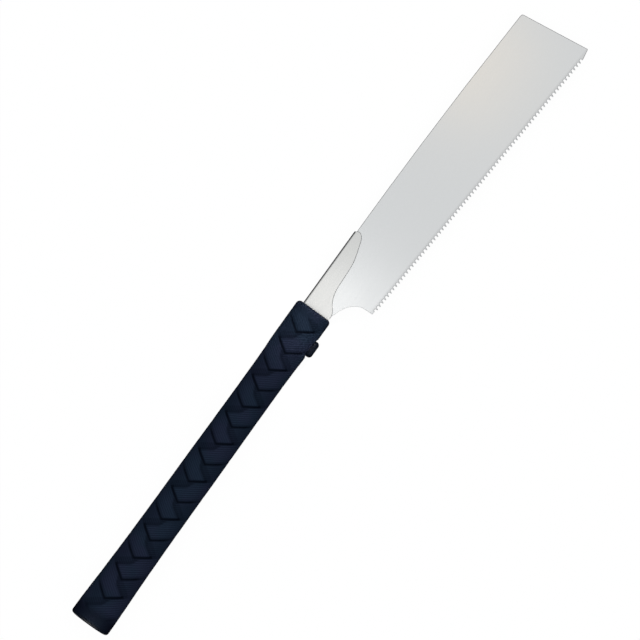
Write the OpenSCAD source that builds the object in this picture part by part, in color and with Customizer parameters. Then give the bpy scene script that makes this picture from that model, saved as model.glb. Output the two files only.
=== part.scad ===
// Flush cut pull saw with a push-button blade lock, lying flat on its side
// +X runs from the butt along the grip to the blade's tip, +Y is the spine side and +Z is up
// The origin is the centre of the butt's flat face, and every length is in millimetres

/* [Blade] */
// Thickness of the blade's sheet
blade_t = 0.7; // [0.4:0.05:0.9]
// Radius of the blade's gently bowed back
back_r = 3870; // [1500:10:9000]
// From the grip's front face to the highest point of the back
back_top_l = 67.5; // [20:0.5:120]
// From the grip's front face to the heel corner
heel_l = 21.3; // [16:0.1:30]
// Depth of the heel corner below the grip's axis
heel_depth = 34.2; // [28:0.1:42]
// Slope of the toothed edge away from the grip's axis, in degrees
edge_a = 3.6; // [2:0.1:6]
// Lean of the tip's end edge, in degrees
tip_a = 7.1; // [0:0.1:12]
// Plain length in front of the last gullet
nose_l = 7.9; // [4:0.1:14]
// Rise of the plain nose from the toothed edge to the tip's corner
nose_rise = 2.4; // [0:0.1:4]
// Radius of the tip's corner on the spine side
tip_back_r = 1.6; // [1:0.1:6]
// Radius of the tip's corner on the toothed side
tip_edge_r = 0.6; // [0.4:0.1:2]

/* [Teeth] */
// Number of teeth
tooth_n = 75; // [20:1:90]
// Distance from one tooth to the next
tooth_pitch = 3.02; // [2.6:0.01:3.2]
// Depth of the gullets
tooth_h = 1.9; // [1:0.1:3.5]
// Width of a tooth across its point
point_w = 0.5; // [0.2:0.05:0.8]
// Width of a tooth at its root
root_w = 1.65; // [1:0.05:2]
// How much nearer to the grip a tooth's point stands than its root
tooth_lean = 0.2; // [0:0.05:0.6]
// From the heel corner to the first tooth's point, along the edge
first_tooth = 4.8; // [4:0.1:9]
// Depth of the teeth's points below the plain heel
heel_step = 1.1; // [0:0.1:1.5]
// Depth of the teeth's points below the start of the plain nose
nose_step = 0.4; // [0:0.1:1]

/* [Tang] */
// Height of the tang that slides into the grip
tang_h = 9; // [7:0.1:10]
// Height of the tang's spine side above the grip's axis
tang_top = 4; // [3.5:0.1:4.2]
// From the grip's front face back to the stop pin's axis
tang_l = 63; // [58:0.5:90]

/* [Neck] */
// Thickness of the neck's folded sheet
neck_t = 1.2; // [0.8:0.05:1.5]
// Length of the neck in front of the grip
neck_l = 62.6; // [50:0.1:90]
// Height of the neck where it leaves the grip
neck_h = 21.7; // [20:0.1:22.5]
// Height of the neck's fold above the grip's axis
spine_y = 9.9; // [9:0.1:10.2]
// Gap between the blade's back and the inside of the fold
back_gap = 0.24; // [0.1:0.02:0.6]
// Length of the neck's shank inside the grip
shank_l = 23; // [21.6:0.1:23.6]
// Height of the shank's wide front part
shank_h = 19.4; // [18:0.1:19.6]

/* [Grip] */
// Length of the grip, from the butt to its front face
grip_l = 270; // [230:1:320]
// Height of the grip at the butt
butt_h = 30.7; // [28:0.1:34]
// Depth of the grip at the butt
butt_d = 24.4; // [22:0.1:28]
// Roundness of the grip's oval section, 2 for an ellipse
oval_n = 2.4; // [2:0.1:3.5]
// Thickness of the sleeve's front wall
front_wall = 2.5; // [1.5:0.1:4]
// Radius of the sleeve's front edge
front_r = 3; // [1:0.1:3.5]
// Width of the shallow recess round the button
recess_w = 1.5; // [0.8:0.1:2.5]
// Wall that the recess leaves over the core
recess_wall = 1; // [0.6:0.1:1.4]

/* [Core] */
// Height of the core's section
core_h = 22.8; // [22.6:0.1:23.4]
// Depth of the core's section
core_d = 16.4; // [16:0.1:17.4]
// Corner radius of the core's section
core_r = 7.5; // [6:0.1:7.6]
// Wall round the core's hollows
core_wall = 2.6; // [2:0.1:3.2]

/* [End cap] */
// Thickness of the end cap's flange
cap_t = 2.2; // [1.5:0.1:4]
// Radius of the end cap's rounded rim
cap_rim_r = 1.9; // [0.5:0.1:2.1]
// Length of the end cap's plug
plug_l = 12; // [9:0.5:18]
// Height of the end cap's plug
plug_h = 14; // [12:0.1:16]
// Depth of the end cap's plug
plug_d = 8; // [6.5:0.1:9.5]
// Corner radius of the end cap's plug
plug_r = 3; // [1:0.1:3.2]

/* [Release button] */
// Length of the button along the grip
button_l = 12.6; // [12:0.1:13.4]
// Width of the button across the grip
button_w = 8.6; // [8:0.1:8.8]
// Distance from the grip's axis to the button's outer face
button_out = 17.1; // [16.8:0.1:19]
// Travel of the button
button_travel = 3; // [2.4:0.1:3]
// From the grip's front face back to the button's middle
button_back = 23.3; // [22.6:0.1:24]
// Radius of the button's outer edge
button_edge_r = 1.8; // [0.6:0.1:2.4]
// Overhang of the flange that keeps the button in the core
flange_w = 0.6; // [0.4:0.05:0.7]
// Thickness of that flange
flange_t = 0.8; // [0.6:0.1:1]

/* [Lock plate] */
// Thickness of the lock plate
plate_t = 2; // [1.6:0.1:2.4]
// Width of the lock plate
plate_w = 6; // [5:0.1:6.4]
// Tilt of the lock plate when it grips the tang, in degrees
plate_tilt = 9; // [7:0.5:10]
// Radius of the lock plate's pivot barrel
barrel_r = 2.6; // [2.4:0.1:2.8]
// Gap between the pivot barrel and the tang
barrel_gap = 0.4; // [0.2:0.1:0.5]
// Distance from the grip's axis to the end of the lock plate's foot
foot_y = 9.6; // [9.4:0.1:9.7]

/* [Lock spring] */
// Outer diameter of the lock spring
spring_d = 3.6; // [3:0.1:3.8]
// Thickness of the spring's wire
wire_d = 0.6; // [0.4:0.05:0.7]
// Length of the spring when the lock grips
spring_l = 18.9; // [14:0.1:24]
// Number of turns of the spring
spring_turns = 10; // [6:1:12]

/* [Pins, rivets and screws] */
// Diameter of the stop pin at the tang's end
stop_d = 4; // [3:0.1:4.5]
// Diameter of the lock plate's pivot pin
pivot_d = 3; // [2.5:0.1:3.4]
// Diameter of the end cap's cross pin
cap_pin_d = 2.5; // [2:0.1:3]
// Length of the pins across the grip
pin_l = 12; // [10:0.5:13]
// Diameter of the neck's rivets
rivet_d = 3; // [2.5:0.1:3.2]
// Diameter of the rivets' heads
rivet_head_d = 4.4; // [4:0.1:4.6]
// Thickness of the rivets' heads
rivet_head_t = 1.2; // [0.8:0.1:1.6]
// Length of the rivets over their heads
rivet_l = 11.8; // [10:0.1:12]
// Number of screws that hold the core's halves together
screw_n = 3; // [2:1:4]
// Diameter of the core screws
screw_d = 3; // [2.5:0.1:3.5]
// Diameter of the core screws' heads
screw_head_d = 5.6; // [5:0.1:6]
// Height of the core screws' heads
screw_head_h = 2; // [1.5:0.1:2.4]
// Length of the core screws under the head
screw_l = 10; // [8:0.5:11]
// Width across the corners of the screws' sockets
socket_w = 2.8; // [2:0.1:3.2]

/* [Fits] */
// Gap on each side of the blade between the neck's cheeks
blade_fit = 0.05; // [0.03:0.01:0.15]
// Gap all round the button in the core
button_fit = 0.15; // [0.1:0.05:0.3]
// Gap all round the button in the sleeve
sleeve_gap = 0.3; // [0.2:0.05:0.6]
// Gap round pieces that are seated and don't move
seat_fit = 0.05; // [0.02:0.01:0.1]
// Radial gap of the lock plate on its pivot pin
pivot_fit = 0.04; // [0.02:0.01:0.08]
// Gap between the tilted lock plate and the tang that it grips
grip_fit = 0.03; // [0.02:0.01:0.06]
// Gap between the lock plate's foot and the button's ramp
ramp_fit = 0.06; // [0.04:0.01:0.12]
// Free space round the moving pieces inside the core
free_gap = 0.3; // [0.2:0.05:0.4]

/* [Hidden] */
$fn = 64;

// Overrun of every cut, and a span larger than the whole saw
over = 1;
span = 4 * grip_l;
// Steps in a rounded corner, in a smoothed stretch, along the back and round the grip
corner_steps = 6;
smooth_steps = 4;
back_steps = 20;
ring_sides = 40;
wire_sides = 6;
turn_rings = 8;

// Grip's outline: shares of its length, and of the butt's height
grip_shares = [
    [0, 1], [0.06, 0.99], [0.12, 0.955], [0.2, 0.922], [0.29, 0.9], [0.39, 0.888], [0.5, 0.884],
    [0.6, 0.872], [0.71, 0.863], [0.82, 0.866], [0.87, 0.897], [0.93, 0.908], [1, 0.908]
];
// Neck's belly edge: shares of its length, and of its height down from the fold
neck_shares = [
    [0, 1], [0.06, 1], [0.112, 0.93], [0.15, 0.838], [0.2, 0.75], [0.264, 0.679], [0.339, 0.634],
    [0.479, 0.613], [0.623, 0.588], [0.703, 0.556], [0.775, 0.502], [0.874, 0.41], [0.935, 0.352],
    [0.978, 0.276], [1, 0.175], [0.996, 0.085], [0.976, 0]
];
// Heel cut-out: shares of the way from the heel corner back to the shoulder, and up to the tang
heel_shares = [
    [0, 0], [0.01, 0.14], [0.02, 0.28], [0.07, 0.38], [0.16, 0.475], [0.32, 0.59], [0.55, 0.68],
    [0.8, 0.745], [0.94, 0.8], [1, 0.87]
];
// Lightening hollows of the core: start and end, as shares of the core's length
hollow_shares = [[0.15, 0.36], [0.42, 0.67]];
// Core screws' places, as shares of the core's length
screw_shares = [0.105, 0.39, 0.7, 0.745];
// Depth of the screws' sockets, as a share of the head's height
socket_share = 0.6;

// Blade and neck
blade_gap = blade_t + 2 * blade_fit;
neck_w = blade_gap + 2 * neck_t;
back_y = spine_y - neck_t - back_gap;
back_x = grip_l + back_top_l;
tang_bottom = tang_top - tang_h;
shoulder_x = grip_l + blade_t;
shoulder_r = 1.5 * blade_t;
heel = [grip_l + heel_l, -heel_depth];
edge_dir = [cos(edge_a), -sin(edge_a)];
edge_in = [sin(edge_a), cos(edge_a)];
edge_at = heel - edge_in * heel_step;
teeth_end = first_tooth + tooth_n * tooth_pitch;
nose_at = flank(teeth_end, -1, nose_step);
heel_end = flank(first_tooth - tooth_pitch, 1, heel_step);
tip_low = edge_at + edge_dir * (teeth_end + nose_l) + edge_in * nose_rise;
tip_top_x = tip_low.x - (back_y - tip_low.y) * tan(tip_a);
tip_top = [tip_top_x, back_at(tip_top_x)];

// Grip and core
core_front = grip_l - front_wall;
core_l = core_front - cap_t;
depth_ratio = butt_d / butt_h;
shank_back = grip_l - shank_l;
step_x = core_front + free_gap;
shank_low = spine_y - shank_h;
tail_low = tang_bottom + wire_d;

// Lock
button_x = grip_l - button_back;
tail_x = button_x + button_l / 2 + core_wall;
hole_y = core_h / 2 - core_wall + flange_w;
flange_y = hole_y - button_fit;
button_in = flange_y - flange_t;
stop_x = grip_l - tang_l;
stop_y = tang_top - tang_h / 2;
foot_r = plate_t / 2;
pivot = [button_x - button_l / 2 - wire_d / 2, tang_top + barrel_r + barrel_gap];
foot_l = pivot.y + foot_y - foot_r;
foot_gripping = pivot + foot_l * [sin(plate_tilt), -cos(plate_tilt)];
foot_free = pivot - [0, foot_l];
foot_shift = foot_gripping - foot_free;
ramp_a = atan(foot_shift.x / (button_travel + foot_shift.y));
ramp_at = foot_gripping + (foot_r + ramp_fit) * [cos(ramp_a), -sin(ramp_a)];
window_top = pivot.y + (tang_top + grip_fit - pivot.y + foot_r * sin(plate_tilt)) / cos(plate_tilt);
window_low = pivot.y - (pivot.y - tang_bottom + grip_fit + foot_r * sin(plate_tilt)) / cos(plate_tilt);
window_w = blade_t + 2 * free_gap;

// Lock spring
spring_y = tang_bottom - wire_d - spring_d / 2;
seat_rise = pivot.y - spring_y - spring_d / 2;
seat_x = pivot.x - foot_r / cos(plate_tilt) + seat_rise * tan(plate_tilt) - seat_fit;
spring_x = seat_x - spring_l;
coil_r = (spring_d - wire_d) / 2;
coil_pitch = (spring_l - wire_d) / spring_turns;

// Direction of a vector
function unit(v) = v / norm(v);

// Height of the blade's bowed back over the grip's axis
function back_at(x) = back_y - back_r + sqrt(pow(back_r, 2) - pow(x - back_x, 2));

// Arc that rounds the corner p between the lines to a and b
function fillet(a, p, b, r) =
    let (
        u = unit(a - p),
        v = unit(b - p),
        half = acos(u * v) / 2,
        c = p + unit(u + v) * r / sin(half),
        s = p + u * r / tan(half) - c,
        e = p + v * r / tan(half) - c,
        start = atan2(s.y, s.x),
        turn = atan2(e.y, e.x) - start,
        sweep = turn > 180 ? turn - 360 : turn < -180 ? turn + 360 : turn
    )
    [for (i = [0:corner_steps]) let (a = start + sweep * i / corner_steps) c + r * [cos(a), sin(a)]];

// Smooth curve through a list of points
function curve_point(p, i, t) =
    let (
        n = len(p) - 1,
        a = p[max(i - 1, 0)],
        b = p[i],
        c = p[min(i + 1, n)],
        d = p[min(i + 2, n)],
        bend = (2 * a - 5 * b + 4 * c - d) * pow(t, 2) + (3 * b - a - 3 * c + d) * pow(t, 3)
    )
    (2 * b + (c - a) * t + bend) / 2;
function smooth(p) = concat(
    [for (i = [0:len(p) - 2]) for (k = [0:smooth_steps - 1]) curve_point(p, i, k / smooth_steps)],
    [p[len(p) - 1]]
);

// Flank of the tooth whose point is at a distance s along the edge, at a depth above that point,
// towards the tip where the side is 1 and towards the grip where it is -1
function flank(s, side, depth) =
    let (share = depth / tooth_h, w = point_w + (root_w - point_w) * share)
    edge_at + edge_dir * (s + tooth_lean * share + side * w / 2) + edge_in * depth;

// One tooth, from the gullet nearer the tip over its point
function tooth(s) = [
    flank(s, 1, tooth_h), flank(s, 1, 0), flank(s, -1, 0), flank(s, -1, tooth_h)
];

// Heel cut-out, from the heel corner to the shoulder under the neck
heel_cut = smooth([
    for (p = heel_shares)
        [heel.x + (shoulder_x - heel.x) * p.x, heel.y + (tang_bottom - heel.y) * p.y]
]);

blade_outline = concat(
    [[stop_x, tang_top]],
    fillet([stop_x, tang_top], [shoulder_x, tang_top], [shoulder_x, back_y], shoulder_r),
    [for (i = [0:back_steps]) let (x = shoulder_x + (tip_top.x - tip_back_r - shoulder_x) * i / back_steps)
        [x, back_at(x)]],
    fillet([shoulder_x, tip_top.y], tip_top, tip_low, tip_back_r),
    fillet(tip_top, tip_low, nose_at, tip_edge_r),
    [nose_at, flank(teeth_end, -1, tooth_h)],
    [for (i = [tooth_n - 1:-1:0]) for (p = tooth(first_tooth + i * tooth_pitch)) p],
    [flank(first_tooth - tooth_pitch, 1, tooth_h), heel_end],
    heel_cut,
    fillet([shoulder_x, heel.y], [shoulder_x, tang_bottom], [stop_x, tang_bottom], shoulder_r),
    [[stop_x, tang_bottom]]
);

neck_edge = smooth([for (p = neck_shares) [grip_l + neck_l * p.x, spine_y - neck_h * p.y]]);

// Outline of the neck and its shank, grown by a gap all round the shank
function neck_outline(gap) = concat(
    [[shank_back - gap, spine_y + gap]],
    [for (i = [len(neck_edge) - 1:-1:0]) neck_edge[i]],
    [
        [step_x, spine_y - neck_h],
        [step_x, shank_low - gap],
        [tail_x, shank_low - gap],
        [tail_x, tail_low - gap],
        [shank_back - gap, tail_low - gap]
    ]
);

// Height of the grip at a share of its length
function grip_height(share) = butt_h * lookup(share, smooth(grip_shares));

// One ring of the grip's oval section, drawn in all round by an inset
function grip_ring(x, share, inset) = [
    for (k = [0:ring_sides - 1])
        let (
            a = 360 * k / ring_sides,
            h = grip_height(share) / 2 - inset,
            d = grip_height(share) * depth_ratio / 2 - inset
        )
        [
            x,
            h * sign(cos(a)) * pow(abs(cos(a)), 2 / oval_n),
            d * sign(sin(a)) * pow(abs(sin(a)), 2 / oval_n)
        ]
];

cap_rings = concat(
    [for (i = [0:corner_steps]) let (a = 90 * i / corner_steps)
        grip_ring(cap_rim_r * (1 - cos(a)), 0, cap_rim_r * (1 - sin(a)))],
    [grip_ring(cap_t, 0, 0)]
);
sleeve_rings = concat(
    [for (i = [0:len(grip_shares) * 2]) let (
        share = i / (len(grip_shares) * 2),
        x = cap_t + (grip_l - front_r - cap_t) * share
    ) grip_ring(x, x / grip_l, 0)],
    [for (i = [1:corner_steps]) let (a = 90 * i / corner_steps)
        grip_ring(grip_l - front_r * (1 - sin(a)), 1, front_r * (1 - cos(a)))]
);

// One ring of the spring's wire after a number of turns
function wire_ring(turns) =
    let (
        a = 360 * turns,
        out = [0, cos(a), sin(a)],
        along = unit([coil_pitch, -2 * PI * coil_r * sin(a), 2 * PI * coil_r * cos(a)]),
        side = cross(along, out),
        c = [spring_x + wire_d / 2 + coil_pitch * turns, spring_y, 0] + coil_r * out
    )
    [
        for (k = [0:wire_sides - 1])
            let (b = 360 * k / wire_sides)
            c + wire_d / 2 * (out * cos(b) + side * sin(b))
    ];

spring_rings = [for (i = [0:spring_turns * turn_rings]) wire_ring(i / turn_rings)];
spring_gap = min([
    for (p = spring_rings[0]) for (q = spring_rings[turn_rings]) norm(p - q)
]);
echo(least_gap_between_spring_turns = spring_gap);

// Solid through a row of rings with the same number of points
module skin(rings) {
    n = len(rings[0]);
    last = (len(rings) - 1) * n;
    polyhedron(
        [for (ring = rings) for (p = ring) p],
        concat(
            [for (i = [0:n:last - n]) for (k = [0:n - 1]) [i + k, i + n + (k + 1) % n, i + (k + 1) % n]],
            [for (i = [0:n:last - n]) for (k = [0:n - 1]) [i + k, i + n + k, i + n + (k + 1) % n]],
            [[for (k = [0:n - 1]) k]],
            [[for (k = [n - 1:-1:0]) last + k]]
        )
    );
}

// Flat outline in the blade's plane, centred on it
module sheet(points, thickness) {
    linear_extrude(thickness, center = true) polygon(points);
}

// Section across the grip, extruded along it from x0 to x1
module along_grip(x0, x1) {
    translate([x0, 0, 0]) rotate([90, 0, 90]) linear_extrude(x1 - x0) children();
}

// Rounded rectangle with true arcs, centred
module rounded_rectangle(w, h, r) {
    square([w - 2 * r, h], center = true);
    square([w, h - 2 * r], center = true);
    for (x = [-1, 1], y = [-1, 1])
        translate([x * (w / 2 - r), y * (h / 2 - r)]) circle(r);
}

// Bar with round ends, centred
module round_bar(l, w) {
    square([l - w, w], center = true);
    for (side = [-1, 1]) translate([side * (l - w) / 2, 0]) circle(d = w);
}

// Section of the core, drawn in or grown all round
module core_section(inset) {
    rounded_rectangle(core_h - 2 * inset, core_d - 2 * inset, core_r - inset);
}

// Slot shape of the button grown all round, from y0 out to y1
module button_slot(grow, y0, y1) {
    translate([button_x, y1, 0]) rotate([90, 0, 0]) linear_extrude(y1 - y0)
        round_bar(button_l + 2 * grow, button_w + 2 * grow);
}

// Upright pin in the blade's plane
module upright(at, d, l) {
    translate([at.x, at.y, 0]) cylinder(d = d, h = l, center = true);
}

// Box between two corners
module box(low, high) {
    translate(low) cube(high - low);
}

// Places of the neck's rivets
rivets_at = [
    [button_x + rivet_head_d, (spine_y - neck_t + tang_top) / 2],
    [core_front - rivet_head_d, tang_bottom - free_gap - rivet_d / 2]
];
cap_pin_at = [cap_t + plug_l / 2, 0];
screws_at = [for (i = [0:screw_n - 1]) [cap_t + core_l * screw_shares[i], 0]];
screw_head_z = -screw_l / 2;

module blade() {
    color("gainsboro") difference() {
        sheet(blade_outline, blade_t);
        upright([stop_x, stop_y], stop_d + 2 * seat_fit, blade_t + over);
    }
}

module neck() {
    color("silver") difference() {
        intersection() {
            sheet(neck_outline(0), neck_w);
            along_grip(shank_back - over, grip_l + neck_l + over) {
                translate([spine_y - neck_w / 2, 0]) circle(d = neck_w);
                translate([spine_y - neck_w / 2 - span, -neck_w / 2]) square([span, neck_w]);
            }
        }
        box(
            [shank_back - over, -span, -blade_gap / 2],
            [grip_l + neck_l + over, spine_y - neck_t, blade_gap / 2]
        );
        for (at = rivets_at) upright(at, rivet_d + 2 * seat_fit, neck_w + over);
    }
}

module rivet() {
    cylinder(d = rivet_d, h = rivet_l, center = true);
    for (side = [-1, 1])
        translate([0, 0, side * (rivet_l - rivet_head_t) / 2])
            cylinder(d = rivet_head_d, h = rivet_head_t, center = true);
}

module neck_rivets() {
    color("darkgray") for (at = rivets_at) translate([at.x, at.y, 0]) rivet();
}

module stop_pin() {
    color("darkgray") upright([stop_x, stop_y], stop_d, pin_l);
}

module lock_pivot_pin() {
    color("darkgray") upright(pivot, pivot_d, pin_l);
}

// Lock plate as it stands when it is square to the tang, with its pivot at the origin
module square_plate() {
    difference() {
        union() {
            cylinder(r = barrel_r, h = plate_w, center = true);
            translate([-foot_r, -foot_l, -plate_w / 2]) cube([plate_t, foot_l, plate_w]);
            translate([0, -foot_l, 0]) cylinder(r = foot_r, h = plate_w, center = true);
        }
        cylinder(d = pivot_d + 2 * pivot_fit, h = plate_w + over, center = true);
        box(
            [-barrel_r, window_low - pivot.y, -window_w / 2],
            [barrel_r, window_top - pivot.y, window_w / 2]
        );
    }
}

module lock_plate() {
    color("dimgray") translate([pivot.x, pivot.y, 0]) rotate([0, 0, plate_tilt]) square_plate();
}

module lock_spring() {
    color("lightsteelblue") skin(spring_rings);
}

// Half outline of the button, from its axis to its rounded outer edge
button_half = concat(
    [[0, 0]],
    [for (i = [0:corner_steps]) let (a = 90 * i / corner_steps)
        [button_w / 2 - button_edge_r * (1 - sin(a)), button_edge_r * (1 - cos(a))]],
    [[button_w / 2, button_out - button_in], [0, button_out - button_in]]
);

module release_button() {
    end_x = (button_l - button_w) / 2;
    color([0.07, 0.09, 0.13]) difference() {
        union() {
            translate([button_x, -button_out, 0]) rotate([-90, 0, 0]) {
                for (x = [-end_x, end_x]) translate([x, 0, 0]) rotate_extrude() polygon(button_half);
                rotate([90, 0, 90]) linear_extrude(2 * end_x, center = true) {
                    polygon(button_half);
                    mirror([1, 0]) polygon(button_half);
                }
            }
            button_slot(flange_w, -flange_y, -button_in);
        }
        translate([ramp_at.x, ramp_at.y, 0]) rotate([0, 0, -ramp_a])
            box([-button_l, -span, -button_w], [0, span, button_w]);
    }
}

// Everything that is cut out of the core for the tang, the neck and the lock
module lock_room() {
    box(
        [stop_x - stop_d, tang_bottom - free_gap, -window_w / 2],
        [core_front + over, tang_top + free_gap, window_w / 2]
    );
    sheet(neck_outline(seat_fit), neck_w + 2 * seat_fit);
    for (at = rivets_at) translate([at.x, at.y, 0]) {
        cylinder(d = rivet_d + 2 * seat_fit, h = span, center = true);
        for (side = [0, 180]) rotate([side, 0, 0]) translate([0, 0, rivet_l / 2 - rivet_head_t - seat_fit])
            cylinder(d = rivet_head_d + 2 * seat_fit, h = span);
    }
    upright([stop_x, stop_y], stop_d + 2 * seat_fit, pin_l + 2 * seat_fit);
    upright(pivot, pivot_d + 2 * seat_fit, pin_l + 2 * seat_fit);
    box(
        [pivot.x - barrel_r - free_gap, -foot_y - free_gap, -plate_w / 2 - free_gap],
        [foot_gripping.x + foot_r + 2 * free_gap, pivot.y + barrel_r + free_gap, plate_w / 2 + free_gap]
    );
    button_slot(button_fit, -core_h, -hole_y + over);
    button_slot(flange_w + button_fit, -hole_y, -button_in + button_travel + free_gap);
    translate([spring_x - seat_fit, spring_y, 0]) rotate([0, 90, 0])
        cylinder(d = spring_d + 2 * free_gap, h = spring_l);
}

// Room for the end cap's plug, its pin, the screws and the lightening hollows
module core_room() {
    along_grip(cap_t - over, cap_t + plug_l + seat_fit)
        rounded_rectangle(plug_h + 2 * seat_fit, plug_d + 2 * seat_fit, plug_r);
    upright(cap_pin_at, cap_pin_d + 2 * seat_fit, pin_l + 2 * seat_fit);
    for (at = screws_at) translate([at.x, at.y, screw_head_z]) {
        translate([0, 0, -seat_fit]) cylinder(d = screw_d + 2 * seat_fit, h = screw_l + 2 * seat_fit);
        translate([0, 0, -span]) cylinder(d = screw_head_d + 2 * seat_fit, h = span);
    }
    for (h = hollow_shares)
        along_grip(cap_t + core_l * h[0], cap_t + core_l * h[1]) core_section(core_wall);
}

module core_half(z0, z1) {
    color([0.16, 0.18, 0.22]) difference() {
        intersection() {
            along_grip(cap_t, core_front) core_section(0);
            box([0, -span, z0], [grip_l, span, z1]);
        }
        lock_room();
        core_room();
    }
}

module core_upper() {
    core_half(0, span);
}

module core_lower() {
    core_half(-span, 0);
}

module core_screws() {
    color("darkgray") for (at = screws_at) translate([at.x, at.y, screw_head_z]) difference() {
        union() {
            cylinder(d = screw_d, h = screw_l);
            translate([0, 0, -screw_head_h]) cylinder(d = screw_head_d, h = screw_head_h);
        }
        translate([0, 0, -screw_head_h - over])
            cylinder(d = socket_w, h = screw_head_h * socket_share + over, $fn = 6);
    }
}

module grip_sleeve() {
    color([0.08, 0.11, 0.16]) difference() {
        skin(sleeve_rings);
        along_grip(cap_t - over, core_front) core_section(-seat_fit);
        box(
            [core_front - over, spine_y - neck_h - seat_fit, -neck_w / 2 - seat_fit],
            [grip_l + over, spine_y + seat_fit, neck_w / 2 + seat_fit]
        );
        button_slot(sleeve_gap, -span, -core_h / 2 + over);
        button_slot(sleeve_gap + recess_w, -span, -core_h / 2 - recess_wall);
    }
}

module end_cap() {
    color([0.1, 0.13, 0.18]) difference() {
        union() {
            skin(cap_rings);
            along_grip(cap_t - over, cap_t + plug_l) rounded_rectangle(plug_h, plug_d, plug_r);
        }
        upright(cap_pin_at, cap_pin_d + 2 * seat_fit, plug_d + over);
    }
}

module cap_pin() {
    color("darkgray") upright(cap_pin_at, cap_pin_d, pin_l);
}

blade();
neck();
neck_rivets();
stop_pin();
lock_plate();
lock_pivot_pin();
lock_spring();
release_button();
core_upper();
core_lower();
core_screws();
grip_sleeve();
end_cap();
cap_pin();
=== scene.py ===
"""Finished look of a flush cut pull saw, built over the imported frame, in metres.

The saw lies flat. +X runs from the butt along the grip to the blade's tip, +Y is the spine side
and +Z is up. Sizes are written in millimetres, times MM.
"""

import math

import bmesh
import bpy
import numpy as np
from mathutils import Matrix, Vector


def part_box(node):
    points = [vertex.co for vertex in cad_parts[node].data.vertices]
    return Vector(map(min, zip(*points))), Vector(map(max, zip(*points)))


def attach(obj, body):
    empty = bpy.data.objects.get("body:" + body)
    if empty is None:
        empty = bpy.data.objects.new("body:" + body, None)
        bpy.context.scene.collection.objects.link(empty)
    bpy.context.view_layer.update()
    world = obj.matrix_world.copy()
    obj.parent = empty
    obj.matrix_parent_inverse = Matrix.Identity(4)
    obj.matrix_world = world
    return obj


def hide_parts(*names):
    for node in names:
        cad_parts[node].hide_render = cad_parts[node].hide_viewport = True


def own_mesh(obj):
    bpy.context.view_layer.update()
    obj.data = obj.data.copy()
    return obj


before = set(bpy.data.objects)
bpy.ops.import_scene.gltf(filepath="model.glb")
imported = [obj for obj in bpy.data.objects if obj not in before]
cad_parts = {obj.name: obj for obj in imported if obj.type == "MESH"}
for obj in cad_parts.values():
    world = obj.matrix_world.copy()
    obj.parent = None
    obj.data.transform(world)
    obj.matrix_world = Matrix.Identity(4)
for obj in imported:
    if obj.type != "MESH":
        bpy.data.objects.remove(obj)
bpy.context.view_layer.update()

MM = 0.001

# Camera: the photograph looks straight down on the saw, with the blade up to the right
VIEW_CENTRE = (266.7 * MM, -6.8 * MM)
VIEW_TURN = math.radians(-54.166)
VIEW_FIELD = 448 * MM
LENS_MM = 200
SENSOR_MM = 36

# Grip: an oval section that follows the CAD sleeve's outline, plain at both ends
OVAL_ROUNDNESS = 2.4
FRONT_EDGE_R = 3 * MM
REAR_EDGE_R = 0.5 * MM
COLLAR_L = 5.5 * MM
REAR_BAND_L = 5 * MM

# Moulded braid: two families of ribbed cells that cross along the middle of each face
BRAID_PERIOD = 32.22 * MM
PERIOD_HALF_HEIGHT = 13.5 * MM
BRAID_ANGLE = math.radians(58)
SPINE_CELL_AT = (20.2 * MM, 1.5 * MM)
EDGE_CELL_AT = (36.2 * MM, -0.5 * MM)

# A cell starts narrow at its pointed end and widens as it goes on
CELL_W = 11.9 * MM
FULL_W = 16 * MM
WIDENING = (9 * MM, 19 * MM)
CELL_H = 0.6 * MM
CELL_EDGE = 0.85 * MM
CROWN_SHARE = 0.18
CELL_RIBS = 7
RIB_H = 0.28 * MM
RIB_RISE = (0.51 * MM, 1.53 * MM)

# The groove round a cell is full at its pointed end and fades on its far side
GROOVE_W = 0.6 * MM
FAR_SIDE_KEEP = 0.75
FAR_SIDE_FADE = 1.7 * MM

# Lower strands between the cells: their height as a share of a cell's, less beside the cell over them,
# which also paints them darker there as painted shade
UNDER_SHARE = 0.74
DIM_SHARE = 0.57
UNDER_RIBS = 9
UNDER_RIB_H = 0.196 * MM

# Where the braid's depth fades, round the grip's sides and at its plain ends, and the tone of those ends:
# painted shade, much darker on the rear band than on the collar, that also makes them rougher
SIDE_FADE = (8 * MM, 18 * MM)
SIDE_SHARE = 0.22
REAR_FADE_L = 9 * MM
REAR_SHADE_TONE = 0.25
COLLAR_FADE_L = 3 * MM
COLLAR_SHADE_TONE = 0.64

# Openings in the sleeve for the core, the neck's shank and the button, with a recess round it
CORE_R = 7.5 * MM
NECK_H = 21.7 * MM
SEAT_GAP = 0.05 * MM
BUTTON_GAP = 0.3 * MM
RECESS_W = 1.5 * MM
RECESS_WALL = 1 * MM

# Blade: teeth left between gullets that are ground to a bevel on both faces
EDGE_ANGLE = math.radians(3.6)
TOOTH_H = 1.9 * MM
POINT_W = 0.5 * MM
ROOT_W = 1.65 * MM
TOOTH_LEAN = 0.2 * MM
LAND_T = 0.36 * MM
LAND_BEVEL_SHARE = 0.01
FLANK_BEVEL = 0.55 * MM
GULLET_BEVEL = 0.65 * MM
GULLET_R = 0.3 * MM
SHEET_BEVEL = 0.3 * MM
HEEL_SHARE = 0.4
NECK_BEVEL = 0.3 * MM

# End cap, button and lock spring
CAP_RIM_R = 1.9 * MM
PLUG_LAP = 0.2 * MM
BUTTON_L = 12.6 * MM
BUTTON_W = 8.6 * MM
BUTTON_EDGE_R = 2.6 * MM
CROWN_H = 3.8 * MM
CROWN_LAP = 0.1 * MM
FLANGE_W = 0.6 * MM
SPRING_TURNS = 10
WIRE_D = 0.6 * MM

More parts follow.
